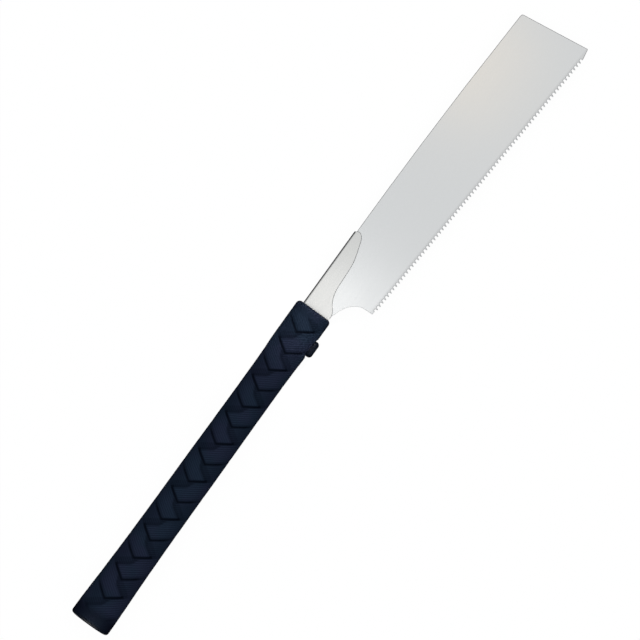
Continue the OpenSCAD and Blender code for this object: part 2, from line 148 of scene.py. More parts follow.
# Fineness of the meshes
RING_STEP = 0.46 * MM
QUARTER_STEPS = 35
ROUND_STEPS = 8
BAR_STEPS = 16
CORNER_STEPS = 4
ARC_SAMPLES = 600
COIL_STEPS = 24
WIRE_STEPS = 10
QUARTER_TURN = [math.radians(90 * i / ROUND_STEPS) for i in range(ROUND_STEPS + 1)]

# Reading and cutting CAD meshes: what counts as one place, as level or as flat, and the overruns
MERGE_DIST = 0.002 * MM
PLACE_DECIMALS = 5
FLAT_ANGLE = math.radians(0.5)
LEVEL_TOL = 0.1 * MM
MIDDLE_TOL = 0.02 * MM
POINT_TOL = 0.01 * MM
FACE_TOL = 0.05 * MM
SKIN_FROM_CORE = 1.6 * MM
SQUARE_ON = 0.9995
GROUND_OVERRUN = 0.1 * MM
OVERRUN = 1 * MM
FAR_OUT = 30 * MM

# Steels and plastics: the two colours that the surface wanders between, and its roughness
BLADE_STEEL = ((0.70, 0.705, 0.71), (0.79, 0.79, 0.785), 0.33)
NECK_STEEL = ((0.655, 0.65, 0.635), (0.73, 0.725, 0.71), 0.34)
PIN_STEEL = ((0.5, 0.5, 0.51), (0.62, 0.62, 0.63), 0.3)
LOCK_STEEL = ((0.22, 0.22, 0.24), (0.34, 0.34, 0.36), 0.42)
SPRING_STEEL = ((0.55, 0.56, 0.58), (0.68, 0.69, 0.7), 0.25)
BUTTON_PLASTIC = ((0.005, 0.008, 0.017), (0.008, 0.012, 0.023), 0.42)
CORE_PLASTIC = ((0.012, 0.013, 0.016), (0.022, 0.024, 0.028), 0.5)
CAP_PLASTIC = ((0.005, 0.008, 0.017), (0.008, 0.012, 0.023), 0.48)
BLADE_LINES = 1800.0
NECK_LINES = 1400.0
HARDENED_FADE = (2.9 * MM, 3.9 * MM)
HARDENED_TONE = (0.69, 0.69, 0.69)

# Rubber: navy with teal patches, its gloss tinted blue, and painted shade that goes nearly black in the
# grooves
RUBBER_NAVY = (0.0255, 0.0335, 0.0690)
RUBBER_TEAL = (0.0200, 0.0350, 0.0640)
RUBBER_GROOVE_SHADE = (0.0004, 0.0012, 0.0045)
RUBBER_GLOSS_TINT = (0.45, 0.63, 1.0)
RUBBER_ROUGH = 0.58
RUBBER_POLISH = 0.08
PATCH_EDGES = (0.35, 0.65)

# Studio: the floor and the sky are white to the camera, and dimmer to the saw
FLOOR_SPAN = 6
FLOOR_T = 20 * MM
FLOOR_COLOUR = (0.06, 0.06, 0.06)
FLOOR_ROUGH = 0.9
FLOOR_GLOW = 0.97
SKY_FADE = (0.52, 0.97)
SKY_LOW = (0.17, 0.175, 0.185)
SKY_HIGH = (0.97, 0.99, 1.0)
SKY_STRENGTH = 0.94
SKY_SEEN_STRENGTH = 1.2


class Value:
    """A socket of a node tree, so that formulas read as formulas."""

    def __init__(self, tree, socket):
        self.tree = tree
        self.socket = socket

    def math(self, operation, *others):
        node = self.tree.nodes.new("ShaderNodeMath")
        node.operation = operation
        for socket, value in zip(node.inputs, (self, *others)):
            wire(self.tree, value, socket)
        return Value(self.tree, node.outputs[0])

    def __add__(self, other):
        return self.math("ADD", other)

    def __sub__(self, other):
        return self.math("SUBTRACT", other)

    def __mul__(self, other):
        return self.math("MULTIPLY", other)

    def __truediv__(self, other):
        return self.math("DIVIDE", other)

    def least(self, other):
        return self.math("MINIMUM", other)

    def most(self, other):
        return self.math("MAXIMUM", other)

    def wrapped(self, period):
        return self.math("FLOORED_MODULO", period)

    def floor(self):
        return self.math("FLOOR")

    def magnitude(self):
        return self.math("ABSOLUTE")

    def sine(self):
        return self.math("SINE")

    def cosine(self):
        return self.math("COSINE")

    def above(self, limit):
        return self.math("GREATER_THAN", limit)

    def up_to_one(self):
        """What is left to 1."""
        return self * -1 + 1

    def ridges(self, count):
        """Even ridges between 0 and 1, a number of them to each unit."""
        return (self * count * math.tau).cosine() * -0.5 + 0.5

    def smooth(self, low, high):
        """0 below low, 1 above high and a smooth step between them."""
        node = self.tree.nodes.new("ShaderNodeMapRange")
        node.interpolation_type = "SMOOTHSTEP"
        for name, value in (("Value", self), ("From Min", low), ("From Max", high)):
            wire(self.tree, value, node.inputs[name])
        return Value(self.tree, node.outputs["Result"])


def wire(tree, value, socket):
    """Puts a Value, an output socket or a plain number on an input."""
    if isinstance(value, Value):
        tree.links.new(value.socket, socket)
    elif isinstance(value, bpy.types.NodeSocket):
        tree.links.new(value, socket)
    else:
        socket.default_value = value


def geometry_tree(name, inputs):
    """A geometry node tree with a geometry in and out and named inputs, each of a kind."""
    tree = bpy.data.node_groups.new(name, "GeometryNodeTree")
    face = tree.interface
    face.new_socket("Geometry", in_out="INPUT", socket_type="NodeSocketGeometry")
    for socket, kind in inputs.items():
        face.new_socket(socket, in_out="INPUT", socket_type="NodeSocket" + kind)
    face.new_socket("Geometry", in_out="OUTPUT", socket_type="NodeSocketGeometry")
    return tree, tree.nodes.new("NodeGroupInput").outputs


def finish_tree(tree, geometry, material):
    """Ends a geometry node tree in real geometry with a material."""
    real = tree.nodes.new("GeometryNodeRealizeInstances")
    paint = tree.nodes.new("GeometryNodeSetMaterial")
    out = tree.nodes.new("NodeGroupOutput")
    wire(tree, geometry, real.inputs["Geometry"])
    wire(tree, real.outputs["Geometry"], paint.inputs["Geometry"])
    wire(tree, material, paint.inputs["Material"])
    wire(tree, paint.outputs["Geometry"], out.inputs["Geometry"])


def add_tree(piece, tree, values):
    """Puts a geometry node tree on a piece, sets its named inputs and settles the mesh."""
    modifier = piece.modifiers.new(tree.name, "NODES")
    modifier.node_group = tree
    for item in tree.interface.items_tree:
        if item.in_out == "INPUT" and item.name in values:
            modifier[item.identifier] = values[item.name]
    return settle(piece)


def new_object(name, data):
    made = bpy.data.objects.new(name, data)
    bpy.context.scene.collection.objects.link(made)
    return made


def new_piece(name, points, faces):
    """Mesh object from points and faces, its normals facing outwards."""
    mesh = bpy.data.meshes.new(name)
    mesh.from_pydata([tuple(p) for p in points], [], faces)
    shape = bmesh.new()
    shape.from_mesh(mesh)
    bmesh.ops.recalc_face_normals(shape, faces=shape.faces)
    shape.to_mesh(mesh)
    shape.free()
    return new_object(name, mesh)


def copy_of_node(name, node):
    """A merged copy of a CAD node's mesh, as a new piece."""
    shape = bmesh.new()
    shape.from_mesh(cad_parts[node].data)
    bmesh.ops.remove_doubles(shape, verts=shape.verts, dist=MERGE_DIST)
    bmesh.ops.dissolve_limit(shape, angle_limit=FLAT_ANGLE, verts=shape.verts, edges=shape.edges)
    mesh = bpy.data.meshes.new(name)
    shape.to_mesh(mesh)
    shape.free()
    return new_object(name, mesh)


def settle(piece):
    """Turns the piece's modifiers into a plain mesh."""
    bpy.context.view_layer.update()
    evaluated = piece.evaluated_get(bpy.context.evaluated_depsgraph_get())
    mesh = bpy.data.meshes.new_from_object(evaluated)
    piece.modifiers.clear()
    piece.data = mesh
    mesh.name = piece.name
    return piece


def combine(piece, other, operation):
    """Cuts a closed tool out of a closed piece, or joins it on, and removes the tool."""
    modifier = piece.modifiers.new(operation, "BOOLEAN")
    modifier.operation = operation
    modifier.solver = "MANIFOLD"
    modifier.object = other
    settle(piece)
    bpy.data.objects.remove(other)
    return piece


def chamfered(piece, width, share):
    """Chamfers the level edges, each by its share of the width."""
    mesh = piece.data
    weights = []
    for edge in mesh.edges:
        a, b = (mesh.vertices[i].co for i in edge.vertices)
        weights.append(float(share(a, b)) if abs(a.z - b.z) < LEVEL_TOL else 0.0)
    mesh.attributes.new("bevel_weight_edge", "FLOAT", "EDGE").data.foreach_set("value", weights)
    modifier = piece.modifiers.new("bevel", "BEVEL")
    modifier.width = width
    modifier.segments = 1
    modifier.limit_method = "WEIGHT"
    modifier.use_clamp_overlap = False
    return settle(piece)


def shaded(piece, angle):
    """Smooth shading that breaks at edges sharper than the angle, and at faces that lie level."""
    mesh = piece.data
    mesh.polygons.foreach_set("use_smooth", [abs(f.normal.z) < SQUARE_ON for f in mesh.polygons])
    mesh.set_sharp_from_angle(angle=math.radians(angle))
    return piece


def dressed(piece, body, slot, material, *nodes):
    """Gives a finished piece its material and its body, and hides the CAD nodes that it stands for."""
    piece.data.materials.clear()
    piece.data.materials.append(material)
    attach(piece, body)
    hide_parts(*nodes)
    return piece


def skin(rings):
    """Points and faces of a closed solid through rings with the same number of points."""
    n = len(rings[0])
    points = [p for ring in rings for p in ring]
    faces = [list(range(n - 1, -1, -1)), [len(points) - n + k for k in range(n)]]
    for i in range(len(rings) - 1):
        for k in range(n):
            m = (k + 1) % n
            faces.append([i * n + k, i * n + m, (i + 1) * n + m, (i + 1) * n + k])
    return points, faces


def bar_ring(y, grow=0.0):
    """Ring of the button's bar with round ends, at a height y and grown all round."""
    length, width = BUTTON_L + 2 * grow, BUTTON_W + 2 * grow
    ring = []
    for side in (1, -1):
        for i in range(BAR_STEPS + 1):
            a = math.radians(-90 + 180 * i / BAR_STEPS)
            end = (length - width) / 2 + width / 2 * math.cos(a)
            ring.append((BUTTON_X + side * end, y, side * width / 2 * math.sin(a)))
    return ring


def block(name, low, high):
    """Box between two corners, as a cutting tool or a floor."""
    points = [(x, y, z) for x in (low[0], high[0]) for y in (low[1], high[1]) for z in (low[2], high[2])]
    faces = [[0, 1, 3, 2], [4, 6, 7, 5], [0, 4, 5, 1], [2, 3, 7, 6], [0, 2, 6, 4], [1, 5, 7, 3]]
    return new_piece(name, points, faces)


def rounded_edge(radius):
    """Steps over a rounded edge: how far each is from the end, and how far it is drawn in."""
    return [(radius * (1 - math.cos(a)), radius * (1 - math.sin(a))) for a in QUARTER_TURN]


# Places of the CAD pieces that the visible ones are fitted to
sleeve_low, sleeve_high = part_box("grip_sleeve")
core_low, core_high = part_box("core_upper")
neck_low, neck_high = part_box("neck")
button_low, button_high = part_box("release_button")
blade_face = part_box("blade")[1].z
spring_low, spring_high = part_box("lock_spring")
DEPTH_RATIO = sleeve_high.z / sleeve_high.y
GRIP_END = sleeve_high.x
BUTTON_X = button_high.x - FLANGE_W - BUTTON_L / 2


def sleeve_outline():
    """Stations along the CAD sleeve's spine side, and the grip's half height at each."""
    co = np.array([v.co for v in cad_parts["grip_sleeve"].data.vertices])
    in_middle = np.abs(co[:, 2]) < MIDDLE_TOL
    on_skin = co[:, 1] > core_high.y + SKIN_FROM_CORE
    behind_edge = co[:, 0] < GRIP_END - FRONT_EDGE_R + LEVEL_TOL
    spine = co[in_middle & on_skin & behind_edge]
    spine = spine[np.argsort(spine[:, 0])]
    x, keep = np.unique(np.round(spine[:, 0], PLACE_DECIMALS), return_index=True)
    return x, spine[keep, 1]


OUTLINE_X, OUTLINE_Y = sleeve_outline()


def half_height(x):
    return float(np.interp(x, OUTLINE_X, OUTLINE_Y))


def oval_ring(half, inset=0.0):
    """Section of the grip at even steps: Y, Z and the arc from the middle of the face."""
    t = np.linspace(0, math.pi / 2, ARC_SAMPLES)
    y = (half - inset) * np.cos(t) ** (2 / OVAL_ROUNDNESS)
    z = (half * DEPTH_RATIO - inset) * np.sin(t) ** (2 / OVAL_ROUNDNESS)
    arc = np.concatenate([[0], np.cumsum(np.hypot(np.diff(y), np.diff(z)))])
    at = np.linspace(0, arc[-1], QUARTER_STEPS + 1)
    y, z, around = np.interp(at, arc, y), np.interp(at, arc, z), arc[-1] - at
    front = [(y[i], z[i], around[i]) for i in range(QUARTER_STEPS)]
    front += [(-y[i], z[i], -around[i]) for i in range(QUARTER_STEPS, 0, -1)]
    back = [(-p[0], -p[1], -p[2]) for p in front]
    return front + back


def sleeve_stations():
    """Places of the sleeve's rings and how far each is drawn in, with rounded ends."""
    low, high = sleeve_low.x + REAR_EDGE_R, GRIP_END - FRONT_EDGE_R
    rows = [(sleeve_low.x + ahead, inset) for ahead, inset in rounded_edge(REAR_EDGE_R)[:-1]]
    rows += [(x, 0.0) for x in np.linspace(low, high, int((high - low) / RING_STEP) + 1)]
    rows += [(GRIP_END - back, inset) for back, inset in rounded_edge(FRONT_EDGE_R)[-2::-1]]
    return rows


def braid_places():
    """Stations along the grip, and the distance at each as the braid counts it.

    It counts less where the grip is higher, so the braid's period grows with the grip's height.
    """
    x = np.arange(sleeve_low.x, GRIP_END + RING_STEP, RING_STEP)
    half = np.interp(x, OUTLINE_X, OUTLINE_Y)
    return x, sleeve_low.x + np.cumsum(RING_STEP * PERIOD_HALF_HEIGHT / half)


def braid_sizes():
    """Sizes of the braid, by the names of its tree's inputs."""
    return {
        "Period": BRAID_PERIOD,
        "Angle": BRAID_ANGLE,
        "Spine cell X": SPINE_CELL_AT[0],
        "Spine cell Y": SPINE_CELL_AT[1],
        "Edge cell X": EDGE_CELL_AT[0],
        "Edge cell Y": EDGE_CELL_AT[1],
        "Cell width": CELL_W,
        "Full width": FULL_W,
        "Widening start": WIDENING[0],
        "Widening end": WIDENING[1],
        "Cell height": CELL_H,
        "Cell edge": CELL_EDGE,
        "Crown share": CROWN_SHARE,
        "Cell ribs": CELL_RIBS,
        "Rib height": RIB_H,
        "Rib rise start": RIB_RISE[0],
        "Rib rise end": RIB_RISE[1],
        "Groove width": GROOVE_W,
        "Far side keep": FAR_SIDE_KEEP,
        "Far side fade": FAR_SIDE_FADE,
        "Under share": UNDER_SHARE,
        "Dim share": DIM_SHARE,
        "Under ribs": UNDER_RIBS,
        "Under rib height": UNDER_RIB_H,
        "Side fade start": SIDE_FADE[0],
        "Side fade end": SIDE_FADE[1],
        "Side share": SIDE_SHARE,
        "Rear band": sleeve_low.x + REAR_BAND_L,
        "Rear fade": REAR_FADE_L,
        "Rear tone": REAR_SHADE_TONE,
        "Collar": GRIP_END - COLLAR_L,
        "Collar fade": COLLAR_FADE_L,
        "Collar tone": COLLAR_SHADE_TONE,
    }


def braid_tree(sizes):
    """Geometry nodes that press the braid into the sleeve's skin and store how deep each point lies, with
    the plain ends' tones, for the rubber's painted shade.
    """
    tree, given = geometry_tree("braid_relief", {**dict.fromkeys(sizes, "Float"), "Rubber": "Material"})
    size = {name: Value(tree, given[name]) for name in sizes}

    def stored(name):
        node = tree.nodes.new("GeometryNodeInputNamedAttribute")
        node.data_type = "FLOAT"
        node.inputs["Name"].default_value = name
        return Value(tree, node.outputs["Attribute"])

    along, braid, around = stored("along"), stored("braid"), stored("around")
    cosine, sine = size["Angle"].cosine(), size["Angle"].sine()
    lean = (size["Angle"] * 2).sine()
    step = size["Period"] / (cosine * 2)

    def oblique(corner):
        """Distances along the two families of strands from a cell's corner."""
        u = (braid - size[corner + " X"]) / cosine
        w = (around - size[corner + " Y"]) / sine
        return (u - w) * 0.5, (u + w) * 0.5

    def family(across, ahead):
        """Cells of one family, the lower strands between them and the groove round each cell."""
        row = (across / step).floor()
        inside_row = across.wrapped(step)
        from_end = ahead - row * step

        widened = from_end.smooth(size["Widening start"], size["Widening end"])
        width = size["Cell width"] + (size["Full width"] - size["Cell width"]) * widened
        inside = inside_row.least(width - inside_row).least(from_end) * lean
        place = inside_row / size["Full width"]
        crown = place * place.up_to_one() * 4
        ribs = (inside_row / size["Cell width"]).ridges(size["Cell ribs"])
        ribs = ribs * inside.smooth(size["Rib rise start"], size["Rib rise end"])
        top = size["Cell height"] * (crown * size["Crown share"] + size["Crown share"].up_to_one())
        cell = inside.smooth(0.0, size["Cell edge"]) * (top + (ribs - 1) * size["Rib height"])

        groove_from, groove_to = size["Groove width"], size["Groove width"] + size["Cell edge"]
        before_next = (step - inside_row).most(step - from_end) * lean
        round_own = (from_end * -1).most(inside_row - width) * lean
        far_side = from_end.smooth(0.0, size["Far side fade"]) * size["Far side keep"]
        own_groove = round_own.smooth(groove_from, groove_to).most(far_side)
        groove = before_next.smooth(groove_from, groove_to).least(own_groove)

        lit = ((from_end - step) * lean).smooth(0.0, size["Cell edge"])
        share = size["Dim share"] + (size["Under share"] - size["Dim share"]) * lit
        lines = (inside_row - size["Full width"]) / (step - size["Full width"])
        lines = lines.ridges(size["Under ribs"])
        under = size["Cell height"] * share + (lines - 1) * size["Under rib height"]
        return cell, under, groove

    across, ahead = oblique("Spine cell")
    spine_cell, spine_under, spine_groove = family(across, ahead)
    ahead, across = oblique("Edge cell")
    edge_cell, edge_under, edge_groove = family(across, ahead)
    to_spine = around.above(0.0)
    under = spine_under * to_spine + edge_under * to_spine.up_to_one()
    under = under * spine_groove.least(edge_groove)
    height = (spine_cell * edge_groove).most(edge_cell * spine_groove).most(under)

    rear = along.smooth(size["Rear band"], size["Rear band"] + size["Rear fade"]).up_to_one()
    front = along.smooth(size["Collar"] - size["Collar fade"], size["Collar"])
    to_side = around.magnitude().smooth(size["Side fade start"], size["Side fade end"])
    braided = rear.up_to_one() * front.up_to_one() * (to_side * (size["Side share"] - 1) + 1)
    depth = (height - size["Cell height"]) * braided
    # Painted shade: the plain rear band is painted much darker and the collar a little darker
    plain = rear * (size["Rear tone"] - 1) + front * (size["Collar tone"] - 1)
    tone = depth / size["Cell height"] + 1 + plain

    # Painted shade: the stored value is lower in the grooves, on the lower strands, between the ribs,
    # towards the cells' sides and on the plain ends, and the rubber is painted darker there
    store = tree.nodes.new("GeometryNodeStoreNamedAttribute")
    store.data_type = "FLOAT"
    store.domain = "POINT"
    store.inputs["Name"].default_value = "relief_shade"
    wire(tree, given["Geometry"], store.inputs["Geometry"])
    wire(tree, tone, store.inputs["Value"])
    inwards = tree.nodes.new("ShaderNodeVectorMath")
    inwards.operation = "SCALE"
    wire(tree, tree.nodes.new("GeometryNodeInputNormal").outputs["Normal"], inwards.inputs[0])
    wire(tree, depth, inwards.inputs["Scale"])
    pressed = tree.nodes.new("GeometryNodeSetPosition")
    wire(tree, store.outputs["Geometry"], pressed.inputs["Geometry"])
    wire(tree, inwards.outputs["Vector"], pressed.inputs["Offset"])
    finish_tree(tree, pressed.outputs["Geometry"], given["Rubber"])
    return tree


def core_tool():
    """Tool for the bore that holds the core: a rectangle with rounded corners."""
    corner_r = CORE_R + SEAT_GAP
    ring = []
    for side_y, side_z in ((1, 1), (-1, 1), (-1, -1), (1, -1)):
        for a in (QUARTER_TURN if side_y * side_z > 0 else QUARTER_TURN[::-1]):
            y = core_high.y - CORE_R + corner_r * math.cos(a)
            z = core_high.z - CORE_R + corner_r * math.sin(a)
            ring.append((side_y * y, side_z * z))
    ends = (sleeve_low.x - OVERRUN, core_high.x)
    return new_piece("core_tool", *skin([[(x, y, z) for y, z in ring] for x in ends]))


def shank_tool():
    """Tool for the slot that the neck's shank runs through."""
    low = (core_high.x - OVERRUN, neck_high.y - NECK_H - SEAT_GAP, neck_low.z - SEAT_GAP)
    high = (GRIP_END + OVERRUN, neck_high.y + SEAT_GAP, neck_high.z + SEAT_GAP)
    return block("neck_tool", low, high)


def button_tool(grow, top):
    """Tool for an opening round the button, from outside the grip up to a height."""
    return new_piece("button_tool", *skin([bar_ring(y, grow) for y in (-FAR_OUT, top)]))


def grip_piece(material):
    """Rubber sleeve with the braid pressed into its skin."""
    rings, along, braid, around = [], [], [], []
    stations, stretched = braid_places()
    for x, inset in sleeve_stations():
        section = oval_ring(half_height(x), inset)
        rings.append([(x, y, z) for y, z, _ in section])
        along += [x] * len(section)
        braid += [float(np.interp(x, stations, stretched))] * len(section)
        around += [arc for _, _, arc in section]
    piece = new_piece("braided_grip", *skin(rings))
    for name, values in (("along", along), ("braid", braid), ("around", around)):
        piece.data.attributes.new(name, "FLOAT", "POINT").data.foreach_set("value", values)
    sizes = braid_sizes()
    add_tree(piece, braid_tree(sizes), {**sizes, "Rubber": material})

    combine(piece, core_tool(), "DIFFERENCE")
    combine(piece, shank_tool(), "DIFFERENCE")
    combine(piece, button_tool(BUTTON_GAP, core_low.y + OVERRUN), "DIFFERENCE")
    combine(piece, button_tool(BUTTON_GAP + RECESS_W, core_low.y - RECESS_WALL), "DIFFERENCE")
    return shaded(piece, angle=40)


# Toothed edge: its direction, the direction into the sheet and the line of the teeth's points
EDGE_ALONG = np.array([math.cos(EDGE_ANGLE), -math.sin(EDGE_ANGLE)])
EDGE_IN = np.array([math.sin(EDGE_ANGLE), math.cos(EDGE_ANGLE)])
BLADE_POINTS = np.array([v.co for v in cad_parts["blade"].data.vertices])[:, :2]
EDGE_LOW = float((BLADE_POINTS @ EDGE_IN).min())


def tooth_places():
    """Places of the teeth's points along the edge, each the middle of its two corners."""
    corners = np.sort((BLADE_POINTS @ EDGE_ALONG)[BLADE_POINTS @ EDGE_IN < EDGE_LOW + POINT_TOL])
    corners = corners[np.concatenate([[True], np.diff(corners) > LEVEL_TOL])]
    return corners.reshape(-1, 2).mean(axis=1)


TOOTH_AT = tooth_places()
TOOTH_PITCH = (TOOTH_AT[-1] - TOOTH_AT[0]) / (len(TOOTH_AT) - 1)


def rounded(before, corner, after, radius):
    """Arc that rounds a corner of an outline."""
    u = (before - corner) / np.linalg.norm(before - corner)
    v = (after - corner) / np.linalg.norm(after - corner)
    half = math.acos(u @ v) / 2
    centre = corner + (u + v) / np.linalg.norm(u + v) * radius / math.sin(half)
    start = corner + u * radius / math.tan(half) - centre
    end = corner + v * radius / math.tan(half) - centre
    sweep = math.pi - 2 * half
    arc = []
    for i in range(CORNER_STEPS + 1):
        t = i / CORNER_STEPS
        spoke = (start * math.sin((1 - t) * sweep) + end * math.sin(t * sweep)) / math.sin(sweep)
        arc.append(centre + spoke)
    return arc


def gullet_outline(bevel):
    """Outline of the first gullet along and into the sheet, grown by a share of the bevel."""

    def flank(tooth, way, depth):
        """A point on a tooth's flank, at a depth from the line of the points."""
        share = depth / TOOTH_H
        width = POINT_W + (ROOT_W - POINT_W) * share
        along = tooth + TOOTH_LEAN * share + way * (width / 2 - bevel * FLANK_BEVEL)
        return np.array((along, depth))

    bottom = TOOTH_H + bevel * GULLET_BEVEL
    corners = [flank(0, 1, -TOOTH_H), flank(0, 1, bottom)]
    corners += [flank(TOOTH_PITCH, -1, bottom), flank(TOOTH_PITCH, -1, -TOOTH_H)]
    radius = GULLET_R + bevel * FLANK_BEVEL
    return [corners[0], *rounded(*corners[:3], radius), *rounded(*corners[1:], radius), corners[3]]


def gullet_tool():
    """Tool that grinds one gullet: a flared plug for each face, from the land in the middle out."""
    slope = 1 / (blade_face - LAND_T / 2)
    sections = (
        (LAND_T / 2, LAND_BEVEL_SHARE),
        (blade_face + GROUND_OVERRUN, 1 + GROUND_OVERRUN * slope),
    )
    points, faces = [], []
    for way in (1, -1):
        rings = []
        for z, bevel in sections:
            rings.append([(*(EDGE_ALONG * x + EDGE_IN * y), way * z) for x, y in gullet_outline(bevel)])
        plug_points, plug_faces = skin(rings)
        faces += [[i + len(points) for i in face] for face in plug_faces]
        points += plug_points
    return new_piece("gullet_tool", points, faces)


def gullet_row_tree():
    """Geometry nodes that repeat one gullet's tool along the edge."""
    tree, given = geometry_tree("row_of_gullets", {
        "Tool": "Object", "Count": "Int", "Start": "Vector", "Step": "Vector", "Steel": "Material",
    })
    line = tree.nodes.new("GeometryNodeMeshLine")
    wire(tree, given["Count"], line.inputs["Count"])
    wire(tree, given["Start"], line.inputs["Start Location"])
    wire(tree, given["Step"], line.inputs["Offset"])
    tool = tree.nodes.new("GeometryNodeObjectInfo")
    wire(tree, given["Tool"], tool.inputs["Object"])
    spread = tree.nodes.new("GeometryNodeInstanceOnPoints")
    wire(tree, line.outputs["Mesh"], spread.inputs["Points"])
    wire(tree, tool.outputs["Geometry"], spread.inputs["Instance"])
    finish_tree(tree, spread.outputs["Instances"], given["Steel"])
    return tree


def sheet_edge_share(a, b):
    """Share of the chamfer on an edge: none in the grip and on the teeth, less at the heel."""
    along, into = Vector(EDGE_ALONG), Vector(EDGE_IN)

    def toothed(point):
        in_row = TOOTH_AT[0] - TOOTH_PITCH < point.xy @ along < TOOTH_AT[-1] + TOOTH_PITCH
        return in_row and point.xy @ into - EDGE_LOW < TOOTH_H + FACE_TOL

    if min(a.x, b.x) < GRIP_END + OVERRUN or (toothed(a) and toothed(b)):
        return 0
    at_heel = max(a.y, b.y) < 0 and (a + b).xy @ along / 2 < TOOTH_AT[0]
    return HEEL_SHARE if at_heel else 1


def blade_piece(material):
    """The blade's sheet with chamfered edges and its gullets ground to a bevel on both faces."""
    piece = copy_of_node("toothed_blade", "blade")
    chamfered(piece, SHEET_BEVEL, sheet_edge_share)
    tool = gullet_tool()
    tree = gullet_row_tree()
    step = EDGE_ALONG * TOOTH_PITCH * 2
    for n in range(2):
        start = EDGE_ALONG * (TOOTH_AT[0] + (n - 1) * TOOTH_PITCH) + EDGE_IN * EDGE_LOW
        row = new_piece("gullet_row", [], [])
        add_tree(row, tree, {
            "Tool": tool,
            "Count": (len(TOOTH_AT) + 1) // 2,
            "Start": (*start, 0.0),
            "Step": (*step, 0.0),
            "Steel": material,
        })
        combine(piece, row, "DIFFERENCE")
    bpy.data.objects.remove(tool)
    piece.data.polygons.foreach_set("use_smooth", [False] * len(piece.data.polygons))
    return piece


def neck_edge_share(a, b):
    """The chamfer runs on the sheet's outer faces, along its belly edge and round its nose."""
    past_grip = min(a.x, b.x) > GRIP_END - OVERRUN
    on_face = min(abs(a.z), abs(b.z)) > neck_high.z - FACE_TOL
    fold_r = neck_high.z
    below_fold = min(a.y, b.y) < neck_high.y - fold_r - LEVEL_TOL
    return past_grip and on_face and below_fold


def neck_piece():
    """The folded sheet with its chamfer."""
    piece = copy_of_node("folded_neck", "neck")
    chamfered(piece, NECK_BEVEL, neck_edge_share)
    return shaded(piece, angle=25)


def cap_piece():
    """End cap with a rounded rim, on the CAD cap's plug."""
    butt_half = half_height(0)
    rings = []
    for x, inset in [*rounded_edge(CAP_RIM_R), (sleeve_low.x, 0.0)]:
        rings.append([(x, y, z) for y, z, _ in oval_ring(butt_half, inset)])
    piece = new_piece("butt_cap", *skin(rings))
    plug = copy_of_node("plug", "end_cap")
    head = block("plug_tool", (-FAR_OUT, -FAR_OUT, -FAR_OUT), (sleeve_low.x - PLUG_LAP, FAR_OUT, FAR_OUT))
    combine(plug, head, "DIFFERENCE")
    combine(piece, plug, "UNION")
    return shaded(piece, angle=30)


def button_piece():
    """Release button: the CAD button's inner part under a smoother crown."""
    piece = copy_of_node("push_button", "release_button")
    crown_from = button_low.y + CROWN_H
    outer_part = block("button_tool", (0, -FAR_OUT, -FAR_OUT), (GRIP_END, crown_from, FAR_OUT))
    combine(piece, outer_part, "DIFFERENCE")
    rings = [bar_ring(button_low.y + ahead, -inset) for ahead, inset in rounded_edge(BUTTON_EDGE_R)]
    rings.append(bar_ring(crown_from + CROWN_LAP))
    combine(piece, new_piece("button_crown", *skin(rings)), "UNION")
    return shaded(piece, angle=30)


def spring_piece(material):
    """Lock spring: one wire wound round the X axis."""
    wire_r = WIRE_D / 2
    sizes = {
        "Turns": SPRING_TURNS,
        "Coil radius": (spring_high.y - spring_low.y) / 2 - wire_r,
        "Wire radius": wire_r,
        "Length": spring_high.x - spring_low.x - WIRE_D,
    }
    inputs = {**dict.fromkeys(sizes, "Float"), "Place": "Vector", "Steel": "Material"}
    tree, given = geometry_tree("wound_spring", inputs)
    coil = tree.nodes.new("GeometryNodeCurveSpiral")
    coil.inputs["Resolution"].default_value = COIL_STEPS
    wire(tree, given["Turns"], coil.inputs["Rotations"])
    wire(tree, given["Coil radius"], coil.inputs["Start Radius"])
    wire(tree, given["Coil radius"], coil.inputs["End Radius"])
    wire(tree, given["Length"], coil.inputs["Height"])
    profile = tree.nodes.new("GeometryNodeCurvePrimitiveCircle")
    profile.inputs["Resolution"].default_value = WIRE_STEPS
    wire(tree, given["Wire radius"], profile.inputs["Radius"])
    tube = tree.nodes.new("GeometryNodeCurveToMesh")
    tube.inputs["Fill Caps"].default_value = True
    wire(tree, coil.outputs["Curve"], tube.inputs["Curve"])
    wire(tree, profile.outputs["Curve"], tube.inputs["Profile Curve"])
    turn = tree.nodes.new("GeometryNodeTransform")
    turn.inputs["Rotation"].default_value = (0, math.pi / 2, 0)
    wire(tree, tube.outputs["Mesh"], turn.inputs["Geometry"])
    wire(tree, given["Place"], turn.inputs["Translation"])
    finish_tree(tree, turn.outputs["Geometry"], given["Steel"])

    piece = new_piece("wound_spring", [], [])
    place = (spring_low.x + wire_r, (spring_low.y + spring_high.y) / 2, 0.0)
    add_tree(piece, tree, {**sizes, "Place": place, "Steel": material})
    return shaded(piece, angle=60)


def group_tree(name, inputs, outputs):
    """A shader group with named float inputs and outputs."""
    tree = bpy.data.node_groups.new(name, "ShaderNodeTree")
    for socket in inputs:
        tree.interface.new_socket(socket, in_out="INPUT", socket_type="NodeSocketFloat")
    for socket in outputs:
        tree.interface.new_socket(socket, in_out="OUTPUT", socket_type="NodeSocketFloat")
    given = tree.nodes.new("NodeGroupInput").outputs
    taken = tree.nodes.new("NodeGroupOutput").inputs
    return tree, given, taken


def noise(tree, vector, scale, detail, roughness=0.5):
    node = tree.nodes.new("ShaderNodeTexNoise")
    wire(tree, vector, node.inputs["Vector"])
    wire(tree, scale, node.inputs["Scale"])
    node.inputs["Detail"].default_value = detail
    node.inputs["Roughness"].default_value = roughness
    return Value(tree, node.outputs["Fac"])


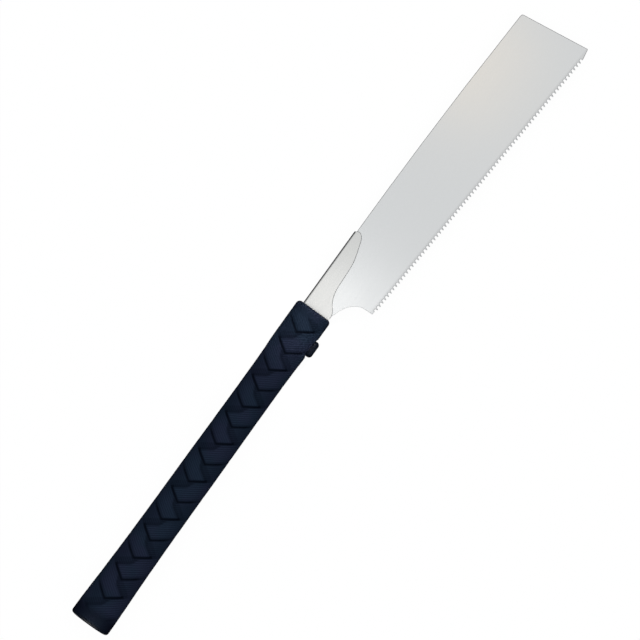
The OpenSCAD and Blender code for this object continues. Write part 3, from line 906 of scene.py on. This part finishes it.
def object_place(tree, stretch=(1, 1, 1)):
    """Object coordinates, scaled along each axis."""
    mapping = tree.nodes.new("ShaderNodeMapping")
    mapping.inputs["Scale"].default_value = stretch
    wire(tree, tree.nodes.new("ShaderNodeTexCoord").outputs["Object"], mapping.inputs["Vector"])
    return mapping.outputs["Vector"]


def grain_group():
    """Fine even grain and soft patches, for moulded and turned surfaces."""
    tree, given, taken = group_tree(
        "moulded_grain", ["Grains per metre", "Patches per metre"], ["Grain", "Patches"])
    place = object_place(tree)
    grain = noise(tree, place, given["Grains per metre"], detail=4.0, roughness=0.6)
    wire(tree, grain, taken["Grain"])
    wire(tree, noise(tree, place, given["Patches per metre"], detail=2.0), taken["Patches"])
    return tree


def brushed_group():
    """Fine lines along X and long soft patches, for brushed sheet."""
    tree, given, taken = group_tree(
        "brushed_lines", ["Lines per metre", "Patches per metre"], ["Lines", "Patches"])
    line_place = object_place(tree, stretch=(0.02, 1, 1))
    patch_place = object_place(tree, stretch=(0.4, 1, 1))
    lines = noise(tree, line_place, given["Lines per metre"], detail=5.0, roughness=0.65)
    wire(tree, lines, taken["Lines"])
    patches = noise(tree, patch_place, given["Patches per metre"], detail=3.0)
    wire(tree, patches, taken["Patches"])
    return tree


GRAIN = grain_group()
BRUSHED = brushed_group()


def place_group(tree, group, **values):
    """Puts a shader group in a material, with its own values."""
    node = tree.nodes.new("ShaderNodeGroup")
    node.node_tree = group
    for name, value in values.items():
        node.inputs[name.replace("_", " ").capitalize()].default_value = value
    return {o.name: Value(tree, o) for o in node.outputs}


def new_material(name, metallic, specular):
    material = bpy.data.materials.new(name)
    material.use_nodes = True
    shader = material.node_tree.nodes["Principled BSDF"]
    shader.inputs["Metallic"].default_value = metallic
    shader.inputs["Specular IOR Level"].default_value = specular
    return material, material.node_tree, shader


def colour_between(tree, mask, low, high):
    """Mixes two colours by a mask."""
    node = tree.nodes.new("ShaderNodeMix")
    node.data_type = "RGBA"
    wire(tree, mask, node.inputs["Factor"])
    colours = [s for s in node.inputs if s.type == "RGBA"]
    for socket, colour in zip(colours, (low, high)):
        wire(tree, colour if isinstance(colour, bpy.types.NodeSocket) else (*colour, 1), socket)
    return [s for s in node.outputs if s.type == "RGBA"][0]


def wandering(middle, mask, spread):
    """A value that wanders about a middle with a mask, by half the spread each way."""
    return mask * spread + (middle - spread / 2)


def bumped(tree, shader, height, distance, strength):
    node = tree.nodes.new("ShaderNodeBump")
    node.inputs["Strength"].default_value = strength
    node.inputs["Distance"].default_value = distance
    wire(tree, height, node.inputs["Height"])
    wire(tree, node.outputs["Normal"], shader.inputs["Normal"])


def brushed_steel(name, dark, light, rough, lines, hardened=False):
    """Satin steel with fine lines along the saw, darker along the teeth where it is hardened."""
    material, tree, shader = new_material(name, metallic=1.0, specular=0.5)
    made = place_group(tree, BRUSHED, Lines_per_metre=lines, Patches_per_metre=22.0)
    colour = colour_between(tree, (made["Lines"] + made["Patches"]) * 0.5, dark, light)
    if hardened:
        split = tree.nodes.new("ShaderNodeSeparateXYZ")
        wire(tree, object_place(tree), split.inputs[0])
        x, y = Value(tree, split.outputs["X"]), Value(tree, split.outputs["Y"])
        depth = x * EDGE_IN[0] + y * EDGE_IN[1] - EDGE_LOW
        colour = colour_between(tree, depth.smooth(*HARDENED_FADE), HARDENED_TONE, colour)
    wire(tree, colour, shader.inputs["Base Color"])
    roughness = wandering(rough, made["Lines"], spread=0.12) + wandering(0, made["Patches"], spread=0.08)
    wire(tree, roughness, shader.inputs["Roughness"])
    bumped(tree, shader, made["Lines"], distance=0.004 * MM, strength=0.6)
    return material


def turned_steel(name, dark, light, rough):
    """Plain machined steel with a faint uneven tone."""
    material, tree, shader = new_material(name, metallic=1.0, specular=0.5)
    made = place_group(tree, GRAIN, Grains_per_metre=2500.0, Patches_per_metre=180.0)
    wire(tree, colour_between(tree, made["Patches"], dark, light), shader.inputs["Base Color"])
    wire(tree, wandering(rough, made["Grain"], spread=0.14), shader.inputs["Roughness"])
    bumped(tree, shader, made["Grain"], distance=0.004 * MM, strength=1.0)
    return material


def moulded_plastic(name, dark, light, rough):
    """Moulded plastic with a fine matt grain."""
    material, tree, shader = new_material(name, metallic=0.0, specular=0.08)
    made = place_group(tree, GRAIN, Grains_per_metre=2600.0, Patches_per_metre=90.0)
    wire(tree, colour_between(tree, made["Patches"], dark, light), shader.inputs["Base Color"])
    wire(tree, wandering(rough, made["Grain"], spread=0.2), shader.inputs["Roughness"])
    bumped(tree, shader, made["Grain"], distance=0.012 * MM, strength=0.7)
    return material


def grip_rubber():
    """Navy rubber: painted shade darkens it with depth to nearly black in the grooves, and the raised
    cells are a little polished.
    """
    material, tree, shader = new_material("grip_rubber_navy", metallic=0.0, specular=0.1)
    shader.inputs["Specular Tint"].default_value = (*RUBBER_GLOSS_TINT, 1)
    made = place_group(tree, GRAIN, Grains_per_metre=2200.0, Patches_per_metre=55.0)
    stored = tree.nodes.new("ShaderNodeAttribute")
    stored.attribute_name = "relief_shade"
    relief_shade = Value(tree, stored.outputs["Fac"])
    tone = colour_between(tree, made["Patches"].smooth(*PATCH_EDGES), RUBBER_TEAL, RUBBER_NAVY)
    # Painted shade: the colour goes from the patch tone towards near black as the stored value falls
    colour = colour_between(tree, relief_shade.most(0.0).least(1.0), RUBBER_GROOVE_SHADE, tone)
    wire(tree, colour, shader.inputs["Base Color"])
    roughness = wandering(RUBBER_ROUGH, made["Grain"], spread=0.16) - relief_shade * RUBBER_POLISH
    wire(tree, roughness, shader.inputs["Roughness"])
    bumped(tree, shader, made["Grain"], distance=0.02 * MM, strength=0.7)
    return material


# Materials
blade_steel = brushed_steel("blade_steel_satin", *BLADE_STEEL, BLADE_LINES, hardened=True)
neck_steel = brushed_steel("neck_steel_satin", *NECK_STEEL, NECK_LINES)
pin_steel = turned_steel("pin_steel_turned", *PIN_STEEL)
lock_steel = turned_steel("lock_steel_dark", *LOCK_STEEL)
spring_steel = turned_steel("spring_steel_drawn", *SPRING_STEEL)
button_plastic = moulded_plastic("button_plastic_navy", *BUTTON_PLASTIC)
core_plastic = moulded_plastic("core_plastic_black", *CORE_PLASTIC)
cap_plastic = moulded_plastic("cap_plastic_navy", *CAP_PLASTIC)
rubber = grip_rubber()

# Pieces that stand for CAD nodes
dressed(grip_piece(rubber), "handle", "grip_rubber", rubber, "grip_sleeve")
dressed(blade_piece(blade_steel), "saw_blade", "blade_steel", blade_steel, "blade")
dressed(neck_piece(), "handle", "neck_steel", neck_steel, "neck")
dressed(cap_piece(), "handle", "cap_plastic", cap_plastic, "end_cap")
dressed(button_piece(), "button", "button_plastic", button_plastic, "release_button")
spring = dressed(spring_piece(spring_steel), "handle", "spring_steel", spring_steel, "lock_spring")
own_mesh(spring)

# CAD nodes whose shape is right and that only take a finish
NODE_LOOKS = {
    pin_steel: ("neck_rivets", "stop_pin", "lock_pivot_pin", "core_screws", "cap_pin"),
    lock_steel: ("lock_plate",),
    core_plastic: ("core_upper", "core_lower"),
}
for look, nodes in NODE_LOOKS.items():
    for node in nodes:
        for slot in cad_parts[node].material_slots:
            slot.material = look


def camera_sees(tree):
    """1 for what the camera sees directly, 0 for light that reaches the saw."""
    return Value(tree, tree.nodes.new("ShaderNodeLightPath").outputs["Is Camera Ray"])


def pale_floor():
    """Plain floor that the grip lies on."""
    half = FLOOR_SPAN / 2
    top = sleeve_low.z
    floor = block("floor", (-half, -half, top - FLOOR_T), (half, half, top))
    material, tree, shader = new_material("pale_floor", metallic=0.0, specular=0.0)
    shader.inputs["Base Color"].default_value = (*FLOOR_COLOUR, 1)
    shader.inputs["Roughness"].default_value = FLOOR_ROUGH
    shader.inputs["Emission Color"].default_value = (1, 1, 1, 1)
    wire(tree, camera_sees(tree) * FLOOR_GLOW, shader.inputs["Emission Strength"])
    floor.data.materials.append(material)


def studio_sky():
    """Soft overhead light that fades towards the horizon."""
    world = bpy.data.worlds.new("studio")
    bpy.context.scene.world = world
    world.use_nodes = True
    tree = world.node_tree
    split = tree.nodes.new("ShaderNodeSeparateXYZ")
    wire(tree, tree.nodes.new("ShaderNodeTexCoord").outputs["Generated"], split.inputs[0])
    overhead = Value(tree, split.outputs["Z"]).smooth(*SKY_FADE)
    seen = camera_sees(tree)
    background = tree.nodes["Background"]
    wire(tree, colour_between(tree, overhead.most(seen), SKY_LOW, SKY_HIGH), background.inputs["Color"])
    strength = seen * (SKY_SEEN_STRENGTH - SKY_STRENGTH) + SKY_STRENGTH
    wire(tree, strength, background.inputs["Strength"])


def overhead_camera():
    """Camera straight above the saw, turned as the photograph is."""
    view = bpy.data.cameras.new("camera")
    view.lens = LENS_MM
    view.sensor_width = SENSOR_MM
    camera = new_object("camera", view)
    camera.location = (*VIEW_CENTRE, VIEW_FIELD * LENS_MM / SENSOR_MM)
    camera.rotation_euler = (0, 0, VIEW_TURN)
    bpy.context.scene.camera = camera


def softbox(name, place, aim, size, power, colour=(1, 1, 1), beam=180):
    """Small square light, unseen by the camera, its beam a number of degrees wide."""
    light = bpy.data.lights.new(name, "AREA")
    light.shape = "SQUARE"
    light.size = size
    light.energy = power
    light.color = colour
    light.spread = math.radians(beam)
    lamp = new_object(name, light)
    lamp.location = place
    lamp.rotation_euler = (Vector(aim) - Vector(place)).to_track_quat("-Z", "Y").to_euler()
    lamp.visible_camera = False


pale_floor()
studio_sky()
overhead_camera()
bpy.context.scene.view_settings.view_transform = "Standard"
softbox(
    "neck_softbox", place=(280 * MM, -15 * MM, 180 * MM), aim=(280 * MM, -15 * MM, 0),
    size=70 * MM, power=0.001, beam=60,
)
softbox(
    "tip_softbox", place=(488 * MM, 20 * MM, 160 * MM), aim=(488 * MM, 20 * MM, 0),
    size=80 * MM, power=0.004, colour=(1, 0.6, 0.1),
)
softbox(
    "collar_softbox", place=(370 * MM, 0, 100 * MM), aim=(271 * MM, 0, 12 * MM),
    size=50 * MM, power=0.004, colour=(1, 0.9, 0.8), beam=10,
)
softbox(
    "butt_softbox", place=(-90 * MM, 0, 75 * MM), aim=(-2 * MM, -1 * MM, 9 * MM),
    size=12 * MM, power=0.0009, colour=(1, 0.85, 0.6), beam=7,
)
